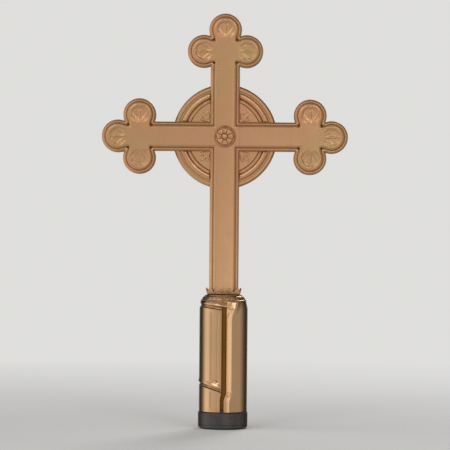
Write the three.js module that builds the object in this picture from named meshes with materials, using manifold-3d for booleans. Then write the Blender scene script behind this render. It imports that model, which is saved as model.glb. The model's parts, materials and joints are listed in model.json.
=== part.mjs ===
// An altar cross: a bronze budded cross with a ringed nimbus. Its tang drops into the socket of a
// round two-shell column, which is drawn down onto a dark wooden foot by one bolt from below.
// Millimetres, +Z up. The origin is the centre of the resting face, and the front faces -Y.
import * as THREE from "three";
import { mergeVertices } from "three/addons/utils/BufferGeometryUtils.js";
import Module from "manifold-3d";

const wasm = await Module();
wasm.setup();

// ---- Driving dimensions ----
const GAP = 0.3; // clearance between pieces that touch or slide
const EASE = 1; // small bevel on turned edges

const CROSSING_Z = 429; // crossing above the altar
const BEAM_HALF = 21.5; // half the width of upright and crossbar
const BACK = 11; // the cross's flat back, behind its centre plane
const BORDER = 8; // its border's face, in front of the centre plane
const STRIP = 11; // its raised centre strip's face
const STRIP_HALF = 16.3; // half the width of the strip
const QUIRK = 1.1; // the groove beside the strip, and the strip's bevel
const CHAMFER = 2.6; // round the border and the back

const LOBE_RADIUS = 24; // each bud of a trefoil end
const LOBE_OFFSET = 31.5; // from the trefoil's centre to a bud's centre
const PETAL_RADIUS = 18.8; // the raised petal on a bud
const TREFOIL_REACH = 125.5; // from the crossing to a trefoil's centre
const ARM_JOINT = 97; // from the crossing to the joint of beam and trefoil end
const TENON = { across: 18, deep: 9, long: 16, spare: 1 };
const PIN = { radius: 2, long: 14 }; // driven in from the back
const MIDDLE_Y = 1; // tenons and dowels lie this far behind the centre plane

const RING_RADIUS = 80; // outside of the nimbus
const RING_DOWEL = { radius: 2.5, long: 67, reach: 52 };

const BOSS = { radius: 16, high: 4 }; // rosette over the crossing
const STUD = { radius: 4, reach: 19 }; // its threaded shank
const WASHER = { radius: 10, thick: 1.5 };
const NUT = { radius: 7.5, thick: 6.5 };

const PAD = { radius: 34, thick: 2 };
const FOOT = { radius: 36.5, top: 25, bolt: 13 }; // bolt: the depth of the bolt head's seat
const SHELL = { inner: 32.5, left: 35.3, right: 35.6, top: 187 };
const SHOULDER = { low: 176, inset: 2.2 }; // above this height the shells lean in to the cap
const SPIGOT_RADIUS = 32.2; // on foot and cap, locates both shells
const SPIGOT_HIGH = 4;
const RAIL = { radius: 36.5, half: 2.5 }; // moulding on the left shell
const UPPER_RAIL = { height: 186, dip: 4.6 }; // at the side, and its fall towards the front seam
const LOWER_RAIL = { height: 71, dip: 10.5 };
const FRONT_SEAM = { left: -2.6, right: 4.8 };
const SEAM_JOG = { height: 50, left: -1.9, right: -3.4 }; // shifts of its edges below this height
const REAR_SEAM_HALF = 0.4;
const BEAD = { radius: 3.9, centre: 33.6, x: 8.8 }; // rolled edge of the right shell
const LAPEL = [
  [10.2, 168],
  [13.8, 174],
  [18.5, 189],
]; // x and height where the rolled edge leaves the seam and turns out under the cap
const SEAM_STRIP = { half: 9, inner: 31.1, outer: 32.2 };
const CORE_RADIUS = 30.8; // wooden core and ballast inside the shells
const BALLAST_TOP = 92;

const CAP_TOP = 196;
const RECESS_DEEP = 4; // the upright's foot stands in this recess of the cap
const RECESS_PLAY = 0.4;
const COLLAR = { halfX: 26, halfY: 15.5, top: 208, notch: 9 };
const TANG = { radius: 7, long: 82, spigot: 5, spigotLong: 35, pinUp: 22 };
const LINER = { outer: 9, flange: 11, flangeThick: 1.5, floor: 109, bottom: 95 }; // socket
const BOLT = { radius: 4, head: 6.5, headHigh: 5.3, top: 105 };
const CAP_SCREW = { x: 16.5, y: 6, radius: 1.8, head: 3.2, long: 30 };

const STEM_FOOT_Z = CAP_TOP - RECESS_DEEP + GAP;
const CLEAR = new THREE.Vector3(400, 400, 400); // larger than the object, for half-space cuts

// ---- Materials ----
const finish = (color, roughness, metalness) =>
  new THREE.MeshStandardMaterial({ color, roughness, metalness });
const SATIN_BRONZE = finish(0xb4875f, 0.42, 1);
const POLISHED_BRONZE = finish(0xc4956a, 0.18, 1);
const BRASS = finish(0xc9a25e, 0.35, 1);
const STEEL = finish(0x8e9094, 0.4, 1);
const CAST_IRON = finish(0x4a4a4c, 0.7, 1);
const DARK_WOOD = finish(0x3b2a26, 0.5, 0);
const CORE_WOOD = finish(0x9c7a52, 0.75, 0);
const FELT = finish(0x24312a, 0.95, 0);

// ---- Solids ----
// A geometry as a manifold-3d solid.
function solid(geometry) {
  const bare = geometry.clone();
  bare.deleteAttribute("normal");
  bare.deleteAttribute("uv");
  const merged = mergeVertices(bare, 1e-4);
  const mesh = new wasm.Mesh({
    numProp: 3,
    vertProperties: merged.attributes.position.array,
    triVerts: new Uint32Array(merged.index.array),
  });
  return new wasm.Manifold(mesh);
}

// A manifold-3d solid as a geometry.
function geometryOf(body) {
  const mesh = body.getMesh();
  return new THREE.BufferGeometry()
    .setAttribute("position", new THREE.BufferAttribute(mesh.vertProperties, 3))
    .setIndex(new THREE.BufferAttribute(mesh.triVerts, 1));
}

const joined = (...bodies) => bodies.reduce((whole, body) => whole.add(body));
const cutBy = (body, ...tools) => tools.reduce((left, tool) => left.subtract(tool), body);

// A rod along X, Y or Z, centred on at.
function rod(axis, radius, long, at = [0, 0, 0], segments = 16) {
  const shape = new THREE.CylinderGeometry(radius, radius, long, segments);
  if (axis === "x") shape.rotateZ(Math.PI / 2);
  if (axis === "z") shape.rotateX(Math.PI / 2);
  return solid(shape.translate(...at));
}

// An upright rod between two heights.
const post = (radius, low, high, segments) =>
  rod("z", radius, high - low, [0, 0, (low + high) / 2], segments);

const block = (x, y, z, at = [0, 0, 0]) => solid(new THREE.BoxGeometry(x, y, z).translate(...at));

// A chain of balls and the links between them, through points.
function chain(points, radius) {
  const ball = wasm.Manifold.sphere(radius, 12);
  const balls = points.map((point) => ball.translate(point));
  const links = balls.slice(1).map((next, i) => wasm.Manifold.hull([balls[i], next]));
  return joined(...links);
}

// A turned body about Z from [radius, height] points that start and end on the axis, or that
// close on themselves.
function turned(points, segments = 48) {
  const profile = points.map(([radius, height]) => new THREE.Vector2(radius, height));
  return solid(new THREE.LatheGeometry(profile, segments).rotateX(Math.PI / 2));
}

// The same about Y, with heights measured towards the front.
const turnedToFront = (points, segments) =>
  turned(points, segments).rotate([90, 0, 0]);

// ---- Scene graph ----
const altarCross = new THREE.Group();
const stand = new THREE.Group();
const cross = new THREE.Group();
const crossing = new THREE.Group(); // everything placed from the crossing
crossing.position.z = CROSSING_Z;
cross.add(crossing);
altarCross.add(stand, cross);

function place(group, name, body, material) {
  const mesh = new THREE.Mesh(geometryOf(body), material);
  mesh.name = name;
  group.add(mesh);
  return mesh;
}

// A group turned about Y, so that its +Z runs along an arm.
function armGroup(angle) {
  const group = new THREE.Group();
  group.rotation.y = angle;
  crossing.add(group);
  return group;
}

// ---- The cross ----
// A beam along Z: chamfered border, a quirk, and the raised strip on its front.
function beam(low, high) {
  const right = [
    [BEAM_HALF - CHAMFER, -BACK],
    [BEAM_HALF, -BACK + CHAMFER],
    [BEAM_HALF, BORDER - CHAMFER],
    [BEAM_HALF - CHAMFER, BORDER],
    [STRIP_HALF + QUIRK, BORDER],
    [STRIP_HALF, BORDER - QUIRK],
    [STRIP_HALF - QUIRK, STRIP - QUIRK],
    [STRIP_HALF - 2 * QUIRK, STRIP],
  ];
  const left = right.map(([across, front]) => [-across, front]).reverse();
  const outline = [...right, ...left].map(([across, front]) => new THREE.Vector2(across, front));
  const long = new THREE.ExtrudeGeometry(new THREE.Shape(outline), {
    depth: high - low,
    bevelEnabled: false,
  });
  return solid(long.rotateZ(Math.PI).translate(0, 0, low));
}

// The outline of a trefoil end with its neck, about the trefoil's centre, arm upwards.
function trefoilOutline(neckLong) {
  const diagonal = (LOBE_OFFSET + Math.sqrt(2 * LOBE_RADIUS ** 2 - LOBE_OFFSET ** 2)) / 2;
  const neckDrop = Math.sqrt(LOBE_RADIUS ** 2 - (LOBE_OFFSET - BEAM_HALF) ** 2);
  const inner = Math.atan2(diagonal, diagonal - LOBE_OFFSET);
  const atNeck = Math.atan2(neckDrop, BEAM_HALF - LOBE_OFFSET);
  const atTop = Math.PI / 2 - inner;
  const shape = new THREE.Shape();
  shape.moveTo(-BEAM_HALF, -neckLong);
  shape.lineTo(BEAM_HALF, -neckLong);
  shape.absarc(LOBE_OFFSET, 0, LOBE_RADIUS, -atNeck, inner);
  shape.absarc(0, LOBE_OFFSET, LOBE_RADIUS, atTop, Math.PI - atTop);
  shape.absarc(-LOBE_OFFSET, 0, LOBE_RADIUS, Math.PI - inner, Math.PI + atNeck);
  return shape;
}

// Raised work on a trefoil end stands out of the border, from a little below its face.
const reliefDeep = STRIP - BORDER + EASE;
const reliefY = -STRIP + reliefDeep / 2;

// A petal with a little draft.
function petal(x, z) {
  const shape = new THREE.CylinderGeometry(PETAL_RADIUS, PETAL_RADIUS - EASE, reliefDeep, 20);
  return solid(shape.translate(x, reliefY, z));
}

// A blind hole from the back for a retaining pin.
const pinHole = (z) =>
  rod("y", PIN.radius + GAP, CLEAR.y, [0, CLEAR.y / 2 + BACK - PIN.long, z]);

// Heights above the crossing of the joint's faces, and of the pin through its tenon.
const armEnd = ARM_JOINT - GAP / 2;
const neckEnd = ARM_JOINT + GAP / 2;
const tenonPinZ = neckEnd - TENON.long / 2;

function trefoilEnd() {
  const below = -TREFOIL_REACH; // from the crossing's frame to the trefoil's
  const neck = TREFOIL_REACH - ARM_JOINT;
  const plate = new THREE.ExtrudeGeometry(trefoilOutline(2 * neck), {
    depth: BACK + BORDER - 2 * CHAMFER,
    bevelThickness: CHAMFER,
    bevelSize: CHAMFER,
    bevelOffset: -CHAMFER,
    bevelSegments: 1,
    curveSegments: 9,
  });
  plate.rotateX(Math.PI / 2).translate(0, BACK - CHAMFER, 0);
  const wide = 2 * STRIP_HALF - EASE;
  const stripLong = 2 * neck + LOBE_OFFSET;
  const strip = block(wide, reliefDeep, stripLong, [0, reliefY, LOBE_OFFSET - stripLong / 2]);
  const branch = block(2 * LOBE_OFFSET, reliefDeep, wide, [0, reliefY, 0]);
  const petals = [petal(0, LOBE_OFFSET), petal(-LOBE_OFFSET, 0), petal(LOBE_OFFSET, 0)];
  const whole = joined(solid(plate), strip, branch, ...petals);
  const spareNeck = block(CLEAR.x, CLEAR.y, CLEAR.z, [0, 0, neckEnd + below - CLEAR.z / 2]);
  const tenonMiddle = neckEnd + below - (TENON.long - TENON.spare) / 2;
  const tenon = block(TENON.across, TENON.deep, TENON.long, [0, MIDDLE_Y, tenonMiddle]);
  return joined(whole.subtract(spareNeck), tenon).subtract(pinHole(tenonPinZ + below));
}

// The mortise and the pin hole that a beam has for a trefoil end, as tools in the crossing's frame.
function endSocket() {
  const long = TENON.long + 2 * TENON.spare;
  const across = TENON.across + 2 * GAP;
  const deep = TENON.deep + 2 * GAP;
  const mortise = block(across, deep, long, [0, MIDDLE_Y, neckEnd + TENON.spare - long / 2]);
  return joined(mortise, pinHole(tenonPinZ));
}

// The ring dowel that crosses an arm, the nimbus's share of it included.
const ringDowel = (spare) =>
  rod("x", RING_DOWEL.radius + spare, RING_DOWEL.long + 2 * spare, [0, MIDDLE_Y, RING_DOWEL.reach]);

const studHole = rod("y", STUD.radius + GAP, CLEAR.y);

// What one beam gives up at the halved joint: everything behind the centre plane (side 1), or in
// front of it (side -1).
const lap = (side, spare) =>
  block(CLEAR.x, CLEAR.y, 2 * (BEAM_HALF + GAP), [0, (side * CLEAR.y) / 2 + spare, 0]);

// The crossbar's mouldings run on over the upright, flush with the crossbar on both sides.
function upright() {
  const low = STEM_FOOT_Z - CROSSING_Z;
  const branches = beam(-BEAM_HALF, BEAM_HALF).rotate([0, 90, 0]);
  const spigotHole = rod("z", TANG.spigot + GAP, 2 * (TANG.spigotLong + EASE), [0, 0, low]);
  return cutBy(
    joined(beam(low, armEnd), branches),
    lap(1, 0),
    studHole,
    endSocket(),
    ringDowel(GAP),
    ringDowel(GAP).rotate([0, 180, 0]),
    spigotHole,
    pinHole(low + TANG.pinUp),
  );
}

function crossbar() {
  const along = cutBy(
    beam(-armEnd, armEnd),
    lap(-1, GAP),
    endSocket(),
    endSocket().rotate([0, 180, 0]),
    ringDowel(GAP),
    ringDowel(GAP).rotate([0, 180, 0]),
    studHole,
  );
  return along.rotate([0, 90, 0]);
}

// The whole moulded ring, cut to the corner between two arms.
function nimbusQuadrant() {
  const ring = turnedToFront([
    [0, -6],
    [RING_RADIUS - 1.5, -6],
    [RING_RADIUS, -4.5],
    [RING_RADIUS, 2],
    [RING_RADIUS - 3, 5],
    [RING_RADIUS - 6, 5],
    [RING_RADIUS - 7.5, 3.5],
    [RING_RADIUS - 9.5, 6.5],
    [RING_RADIUS - 13, 7.5],
    [RING_RADIUS - 16.5, 6.5],
    [RING_RADIUS - 17.5, 2.8],
    [RING_RADIUS - 22.5, 2.8],
    [RING_RADIUS - 24.5, 4],
    [0, 4],
  ]);
  const middle = BEAM_HALF + GAP + CLEAR.x / 2;
  const corner = block(CLEAR.x, CLEAR.y, CLEAR.z, [middle, 0, middle]);
  return cutBy(ring.intersect(corner), ringDowel(GAP), ringDowel(GAP).rotate([0, 90, 0]));
}

function rosetteBoss() {
  const seat = STRIP + GAP;
  return turnedToFront(
    [
      [0, -STUD.reach],
      [STUD.radius, -STUD.reach],
      [STUD.radius, seat],
      [BOSS.radius - EASE, seat],
      [BOSS.radius, seat + EASE],
      [BOSS.radius - 1.5, seat + 2],
      [BOSS.radius / 2, seat + 3],
      [STUD.radius, seat + BOSS.high],
      [0, seat + BOSS.high],
    ],
    32,
  );
}

function acornNut(face) {
  const hexagon = rod("y", NUT.radius, NUT.thick, [0, face + NUT.thick / 2, 0], 6);
  const dome = solid(new THREE.SphereGeometry(NUT.radius * 0.8, 16, 8));
  const bore = rod("y", STUD.radius + GAP, 2 * NUT.thick, [0, face, 0]);
  return joined(hexagon, dome.translate([0, face + NUT.thick, 0])).subtract(bore);
}

place(crossing, "upright", upright(), SATIN_BRONZE);
place(crossing, "crossbar", crossbar(), SATIN_BRONZE);

const arms = { top: 0, right: Math.PI / 2, left: -Math.PI / 2 };
for (const [side, angle] of Object.entries(arms)) {
  const group = armGroup(angle);
  const end = place(group, side + "_trefoil_end", trefoilEnd(), SATIN_BRONZE);
  end.position.z = TREFOIL_REACH;
  const pin = place(group, side + "_end_pin", rod("y", PIN.radius, PIN.long), BRASS);
  pin.position.set(0, BACK - PIN.long / 2, tenonPinZ);
}

const corners = ["upper_right", "lower_right", "lower_left", "upper_left"];
corners.forEach((corner, i) => {
  place(armGroup((i * Math.PI) / 2), "nimbus_" + corner, nimbusQuadrant(), SATIN_BRONZE);
});
const dowelSides = ["top", "right", "bottom", "left"];
dowelSides.forEach((side, i) => {
  place(armGroup((i * Math.PI) / 2), "nimbus_dowel_" + side, ringDowel(0), BRASS);
});

place(crossing, "crossing_rosette", rosetteBoss(), SATIN_BRONZE);
const washerFace = BACK + GAP;
const washer = rod("y", WASHER.radius, WASHER.thick, [0, washerFace + WASHER.thick / 2, 0]);
place(crossing, "crossing_washer", washer.subtract(studHole), BRASS);
place(crossing, "crossing_nut", acornNut(washerFace + WASHER.thick + GAP), BRASS);

const tangPinZ = STEM_FOOT_Z + TANG.pinUp;
const tang = joined(
  post(TANG.radius, STEM_FOOT_Z - TANG.long, STEM_FOOT_Z - GAP, 24),
  post(TANG.spigot, STEM_FOOT_Z - EASE, STEM_FOOT_Z + TANG.spigotLong),
).subtract(pinHole(tangPinZ));
place(cross, "tang", tang, BRASS);
const tangPin = place(cross, "tang_pin", rod("y", PIN.radius, PIN.long), BRASS);
tangPin.position.set(0, BACK - PIN.long / 2, tangPinZ);

// ---- The stand ----
const FAR = CLEAR.z / 2; // above everything, for bores that are open at the top
const spigotTop = FOOT.top + SPIGOT_HIGH;

function foot() {
  const low = PAD.thick + 0.2;
  const whole = turned([
    [0, low],
    [FOOT.radius - EASE, low],
    [FOOT.radius, low + EASE],
    [FOOT.radius, FOOT.top - EASE],
    [FOOT.radius - EASE, FOOT.top],
    [SPIGOT_RADIUS, FOOT.top],
    [SPIGOT_RADIUS, spigotTop],
    [0, spigotTop],
  ]);
  const headSeat = post(WASHER.radius + 2, 0, FOOT.bolt + 0.2);
  return cutBy(whole, post(BOLT.radius + GAP, 0, FAR), headSeat);
}

const shellLow = FOOT.top + GAP;
const shellHigh = SHELL.top - GAP;
const shellBore = post(SHELL.inner, 0, FAR, 48);
const shellBody = (radius) =>
  turned([
    [0, shellLow],
    [radius, shellLow],
    [radius, SHOULDER.low],
    [radius - SHOULDER.inset, shellHigh],
    [0, shellHigh],
  ]);
const shellTube = (radius) => shellBody(radius).subtract(shellBore);

// A block that reaches from one x sideways (-1 left, 1 right), between two heights, and covers
// the front (-1) or the rear (1) of the column.
function sideBlock(side, x, depth, low, high) {
  const wide = CLEAR.x / 2;
  const at = [x + (side * wide) / 2, (depth * wide) / 2, (low + high) / 2];
  return block(wide, wide, high - low, at);
}

// Keeps one side (-1 left, 1 right) of a tube, between the front and the rear seam.
function halfOf(tube, side) {
  const edge = side < 0 ? FRONT_SEAM.left : FRONT_SEAM.right;
  const jog = side < 0 ? SEAM_JOG.left : SEAM_JOG.right;
  const front = sideBlock(side, edge, -1, SEAM_JOG.height, FAR);
  const lowFront = sideBlock(side, edge + jog, -1, 0, SEAM_JOG.height);
  const rear = sideBlock(side, side * REAR_SEAM_HALF, 1, 0, FAR);
  return tube.intersect(joined(front, lowFront, rear));
}

// A rounded ring let into the left shell. It is level at the back and side, and falls by its dip
// over the front quarter, on a straight slope as seen from the front.
function rail({ height, dip }) {
  const buried = SHELL.inner + EASE / 2;
  const profile = [
    [buried, height - RAIL.half],
    [SHELL.left, height - RAIL.half],
    [RAIL.radius, height - RAIL.half / 2],
    [RAIL.radius, height + RAIL.half / 2],
    [SHELL.left, height + RAIL.half],
    [buried, height + RAIL.half],
    [buried, height - RAIL.half],
  ].map(([radius, z]) => new THREE.Vector2(radius, z));
  const ring = new THREE.LatheGeometry(profile, 48).rotateX(Math.PI / 2);
  const points = ring.attributes.position;
  for (let i = 0; i < points.count; i += 1) {
    const radius = Math.hypot(points.getX(i), points.getY(i));
    const share = 1 + points.getX(i) / radius;
    if (points.getY(i) < 0) points.setZ(i, points.getZ(i) - dip * share);
  }
  return solid(ring);
}

// The upper rail leans in with the shell, and runs on across the seam to the right shell's
// rolled edge.
function leftShell() {
  const upper = rail(UPPER_RAIL).intersect(shellBody(RAIL.radius));
  const whole = joined(shellTube(SHELL.left), upper, rail(LOWER_RAIL));
  const lowEnd = UPPER_RAIL.height - 2 * UPPER_RAIL.dip - RAIL.half;
  const acrossSeam = sideBlock(-1, FRONT_SEAM.right - GAP, -1, lowEnd, shellHigh);
  const bridge = upper.intersect(acrossSeam);
  return halfOf(whole, -1).add(bridge);
}

// The right shell's rolled edge follows the seam up from the foot, with its jog, then the lapel.
function rolledEdge() {
  const jog = 4;
  const course = [
    [BEAD.x + SEAM_JOG.right, shellLow - EASE],
    [BEAD.x + SEAM_JOG.right, SEAM_JOG.height - jog],
    [BEAD.x, SEAM_JOG.height + jog],
    [BEAD.x, LAPEL[0][1] - 2 * jog],
    ...LAPEL,
  ];
  const points = course.map(([x, z]) => [x, -Math.sqrt(BEAD.centre ** 2 - x ** 2), z]);
  return chain(points, BEAD.radius).intersect(shellBody(BEAD.centre + BEAD.radius));
}

function rightShell() {
  const shell = halfOf(shellTube(SHELL.right), 1);
  return shell.add(rolledEdge().subtract(shellBore));
}

// A strip behind a seam: side -1 at the front, 1 at the rear.
function seamStrip(side) {
  const low = spigotTop + GAP;
  const high = SHELL.top - SPIGOT_HIGH - GAP;
  const bore = post(SEAM_STRIP.inner, 0, FAR, 48);
  const tube = post(SEAM_STRIP.outer, low, high, 48).subtract(bore);
  const near = SEAM_STRIP.inner / 2;
  const behindSeam = block(2 * SEAM_STRIP.half, FAR, CLEAR.z * 2, [0, side * (near + FAR / 2), 0]);
  return tube.intersect(behindSeam);
}

function ballast() {
  const body = post(CORE_RADIUS, spigotTop + GAP, BALLAST_TOP - GAP, 36);
  return body.subtract(post(BOLT.radius + EASE, 0, FAR));
}

// The four screw places in the cap's recess.
const screwPlaces = [
  [-1, -1],
  [1, -1],
  [1, 1],
  [-1, 1],
].map(([sx, sy]) => [sx * CAP_SCREW.x, sy * CAP_SCREW.y, 0]);
const recessFloor = CAP_TOP - RECESS_DEEP;

function capScrew(spare) {
  const low = recessFloor - CAP_SCREW.long - spare;
  const neck = recessFloor - 2;
  const top = recessFloor - 0.2 + 2 * spare;
  return turned(
    [
      [0, low],
      [CAP_SCREW.radius + spare, low],
      [CAP_SCREW.radius + spare, neck],
      [CAP_SCREW.head + spare, recessFloor - 0.4],
      [CAP_SCREW.head + spare, top],
      [0, top],
    ],
    12,
  );
}
const screwHoles = screwPlaces.map((at) => capScrew(GAP).translate(at));

function columnCore() {
  const body = post(CORE_RADIUS, BALLAST_TOP, SHELL.top - SPIGOT_HIGH - GAP, 36);
  const liner = post(LINER.outer + GAP, LINER.bottom - GAP, FAR + SHELL.top, 24);
  return cutBy(body, post(BOLT.radius + EASE, 0, BALLAST_TOP + LINER.outer), liner, ...screwHoles);
}

function socketLiner() {
  const flangeLow = recessFloor - LINER.flangeThick;
  const body = joined(
    post(LINER.outer, LINER.bottom, flangeLow + EASE, 24),
    post(LINER.flange, flangeLow, recessFloor - 0.1, 24),
  );
  const bore = post(TANG.radius + GAP, LINER.floor, FAR, 24);
  return cutBy(body, bore, post(BOLT.radius + GAP, 0, LINER.floor + EASE));
}

function cap() {
  const spigotLow = SHELL.top - SPIGOT_HIGH;
  const whole = turned([
    [0, spigotLow],
    [SPIGOT_RADIUS, spigotLow],
    [SPIGOT_RADIUS, SHELL.top],
    [33.8, SHELL.top],
    [33.8, SHELL.top + 1.4],
    [32.4, SHELL.top + 2.4],
    [30.4, SHELL.top + 5.5],
    [28, CAP_TOP - EASE],
    [27.2, CAP_TOP],
    [0, CAP_TOP],
  ]);
  const recess = block(2 * (BEAM_HALF + RECESS_PLAY), 2 * (BACK + RECESS_PLAY), 2 * RECESS_DEEP, [
    0,
    0,
    CAP_TOP,
  ]);
  const flangeSeat = post(LINER.flange + GAP, recessFloor - LINER.flangeThick - GAP, FAR, 24);
  const bore = post(LINER.outer + GAP, 0, FAR, 24);
  return cutBy(whole, recess, flangeSeat, bore, ...screwHoles);
}

// A coronet of pointed leaves round the upright's foot: a rectangular wall, notched along its top.
function leafCollar() {
  const low = CAP_TOP + 0.2;
  const high = COLLAR.top;
  const middle = (low + high) / 2;
  const play = 2 * RECESS_PLAY;
  const wall = block(2 * COLLAR.halfX, 2 * COLLAR.halfY, high - low, [0, 0, middle]);
  const hole = block(2 * (BEAM_HALF + play), 2 * (BACK + play), COLLAR.top, [0, 0, middle]);
  const across = [COLLAR.notch, CLEAR.y, COLLAR.notch];
  const along = [CLEAR.x, COLLAR.notch, COLLAR.notch];
  const leafWide = COLLAR.halfX / 2;
  const notches = [-2, -1, 0, 1, 2].map((i) =>
    block(...across).rotate([0, 45, 0]).translate([i * leafWide, 0, high + EASE]),
  );
  const sideNotches = [-1, 0, 1].map((i) =>
    block(...along).rotate([45, 0, 0]).translate([0, i * COLLAR.halfY, high + EASE]),
  );
  return cutBy(wall, hole, ...notches, ...sideNotches);
}

const boltHeadTop = FOOT.bolt - WASHER.thick - 0.2;
const tieBolt = joined(
  post(BOLT.head, boltHeadTop - BOLT.headHigh, boltHeadTop, 6),
  post(BOLT.radius, boltHeadTop - EASE, BOLT.top),
);
const tieWasher = post(WASHER.radius, FOOT.bolt - WASHER.thick, FOOT.bolt).subtract(
  post(BOLT.radius + GAP, 0, FAR),
);

place(stand, "felt_pad", post(PAD.radius, 0, PAD.thick, 48), FELT);
place(stand, "foot", foot(), DARK_WOOD);
place(stand, "tie_bolt", tieBolt, STEEL);
place(stand, "tie_washer", tieWasher, STEEL);
place(stand, "ballast", ballast(), CAST_IRON);
place(stand, "column_core", columnCore(), CORE_WOOD);
place(stand, "socket_liner", socketLiner(), BRASS);
place(stand, "left_shell", leftShell(), POLISHED_BRONZE);
place(stand, "right_shell", rightShell(), POLISHED_BRONZE);
place(stand, "front_seam_strip", seamStrip(-1), BRASS);
place(stand, "rear_seam_strip", seamStrip(1), BRASS);
place(stand, "cap", cap(), POLISHED_BRONZE);
place(stand, "leaf_collar", leafCollar(), POLISHED_BRONZE);
screwPlaces.forEach((at, i) => {
  place(stand, "cap_screw_" + (i + 1), capScrew(0), BRASS).position.set(...at);
});

export default altarCross;
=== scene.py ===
import json
import math

import bmesh
import bpy
import numpy as np
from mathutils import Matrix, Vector
from mathutils.geometry import delaunay_2d_cdt


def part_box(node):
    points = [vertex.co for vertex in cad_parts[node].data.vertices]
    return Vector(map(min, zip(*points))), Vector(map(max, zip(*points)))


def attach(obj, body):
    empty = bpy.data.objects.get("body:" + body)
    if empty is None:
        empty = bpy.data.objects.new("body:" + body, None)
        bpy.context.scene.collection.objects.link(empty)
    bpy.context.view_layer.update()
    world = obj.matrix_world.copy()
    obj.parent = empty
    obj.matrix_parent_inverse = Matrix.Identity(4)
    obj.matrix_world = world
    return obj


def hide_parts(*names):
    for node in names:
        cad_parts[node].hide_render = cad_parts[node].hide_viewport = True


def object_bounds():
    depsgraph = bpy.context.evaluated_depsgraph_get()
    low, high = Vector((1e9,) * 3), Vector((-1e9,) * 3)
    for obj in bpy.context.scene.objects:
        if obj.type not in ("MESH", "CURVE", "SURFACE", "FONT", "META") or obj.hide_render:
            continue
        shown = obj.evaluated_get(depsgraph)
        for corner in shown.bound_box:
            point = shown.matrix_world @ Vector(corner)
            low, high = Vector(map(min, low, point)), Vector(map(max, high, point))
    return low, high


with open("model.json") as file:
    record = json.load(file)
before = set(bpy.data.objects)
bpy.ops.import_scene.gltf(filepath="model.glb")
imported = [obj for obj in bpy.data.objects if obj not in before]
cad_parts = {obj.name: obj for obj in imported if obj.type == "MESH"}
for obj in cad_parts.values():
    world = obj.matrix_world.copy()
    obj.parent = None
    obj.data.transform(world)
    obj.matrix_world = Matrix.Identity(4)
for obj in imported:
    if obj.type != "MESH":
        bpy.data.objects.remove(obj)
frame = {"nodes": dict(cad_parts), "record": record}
cad_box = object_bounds()

MM = 0.001
GAP = 0.3  # clearance between neighbouring pieces, as in the CAD
HAIR = 0.05  # half the width of the hairline where two castings of the cross meet

SLOTS = {entry["node"]: entry["material_slot"] for entry in frame["record"]["subparts"]}
RIDES_ON = {
    node: body for body, nodes in frame["record"]["behaviour"]["bodies"].items() for node in nodes
}


def corners(node):
    """A CAD node's lowest and highest corners, in millimetres."""
    low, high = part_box(node)
    return np.array(low) / MM, np.array(high) / MM


# ---- Sizes taken from the frame ----
upright_low, upright_high = corners("upright")
bar_low, bar_high = corners("crossbar")
_, end_high = corners("top_trefoil_end")
_, ring_high = corners("nimbus_upper_right")
foot_low, foot_high = corners("foot")
left_low, left_high = corners("left_shell")
right_low, right_high = corners("right_shell")
cap_low, cap_high = corners("cap")
collar_low, collar_high = corners("leaf_collar")
_, rosette_high = corners("crossing_rosette")
tang_low, tang_high = corners("tang")
nut_low, nut_high = corners("crossing_nut")
washer_low, washer_high = corners("crossing_washer")
_, pad_high = corners("felt_pad")
_, liner_high = corners("socket_liner")

BEAM_HALF, BACK = upright_high[:2]
STRIP_FACE = -upright_low[1]
CROSSING = (bar_low[2] + bar_high[2]) / 2
STEM_FOOT = upright_low[2]
ARM_JOINT = upright_high[2] - CROSSING + GAP / 2  # from the crossing to an arm's seam
TREFOIL = end_high[2] - CROSSING - end_high[0]  # from the crossing to a trefoil's centre
NECK = TREFOIL - ARM_JOINT - HAIR

# ---- Sizes of the finer shapes ----
BORDER = 8  # face of the cross's border, in front of its centre plane
CHAMFER = 2.6
STRIP_HALF = 16.3  # half the width of the raised strip
LOBE_RADIUS = 24
LOBE_OFFSET = end_high[0] - LOBE_RADIUS
PETAL_RADIUS = 18.8


# ---- Curves and meshes ----
def smoothstep(low, high, value):
    share = np.clip((np.asarray(value, float) - low) / (high - low), 0, 1)
    return share * share * (3 - 2 * share)


def bell(away, width):
    """1 at no distance, falling smoothly to almost nothing at twice the width."""
    return np.exp(-((away / width) ** 2))


def rounded(path, steps=4):
    """The polyline through (x, y, radius) corners, with each one eased into a curve."""
    points = [np.array(path[0][:2], float)]
    for before, here, after in zip(path, path[1:], path[2:]):
        corner = np.array(here[:2], float)
        towards = np.array(before[:2], float) - corner
        onwards = np.array(after[:2], float) - corner
        towards /= np.linalg.norm(towards)
        onwards /= np.linalg.norm(onwards)
        if here[2] == 0:
            points.append(corner)
            continue
        half_angle = math.acos(np.clip(towards @ onwards, -1, 1)) / 2
        reach = here[2] / math.tan(half_angle)
        for t in np.linspace(0, 1, steps + 1):
            points.append(corner + ((1 - t) ** 2 * towards + t**2 * onwards) * reach)
    points.append(np.array(path[-1][:2], float))
    return np.array(points)


def skin(rings, ends="capped"):
    """Points and quads between closed rings of equal length. The end rings are capped, or joined to
    each other, or closed by strips that pair each ring's first half with its second half."""
    rings = np.asarray(rings, float)
    count, size = rings.shape[:2]
    faces = []
    for i in range(count if ends == "joined" else count - 1):
        here, there = i * size, (i + 1) % count * size
        for j in range(size):
            k = (j + 1) % size
            faces.append((here + j, here + k, there + k, there + j))
    for start in (0, (count - 1) * size):
        if ends == "capped":
            faces.append(tuple(range(start, start + size)))
        if ends == "paired":
            for j in range(size // 2 - 1):
                across = size - 1 - j
                faces.append((start + j, start + j + 1, start + across - 1, start + across))
    return rings.reshape(-1, 3), faces


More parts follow.
